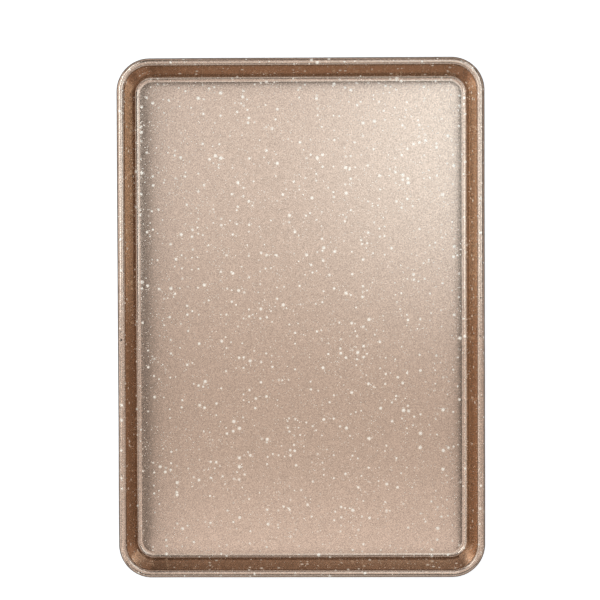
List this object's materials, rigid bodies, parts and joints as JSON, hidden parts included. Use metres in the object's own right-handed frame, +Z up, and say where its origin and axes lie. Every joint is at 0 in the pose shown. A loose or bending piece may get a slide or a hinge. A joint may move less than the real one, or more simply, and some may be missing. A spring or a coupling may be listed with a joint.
{
  "type": "sheet pan",
  "caption": "Shallow rectangular sheet pan of coated steel, with sloping walls, rounded corners and a rolled rim over a wire, for baking and roasting.",
  "frame": {"origin": "middle of the resting face, under the middle of the flat floor", "axes": "+X across the pan, +Y along its length, +Z up out of the pan"},
  "size_m": [0.305, 0.432, 0.025],
  "materials": {
    "champagne_coating": "satin metallic champagne-gold non-stick coating with a fine sparkling grain and scattered white speckles",
    "wire_steel": "plain drawn steel wire"
  },
  "bodies": {
    "root": {"pan_shell": "champagne_coating", "rim_wire": "wire_steel"}
  },
  "joints": []
}
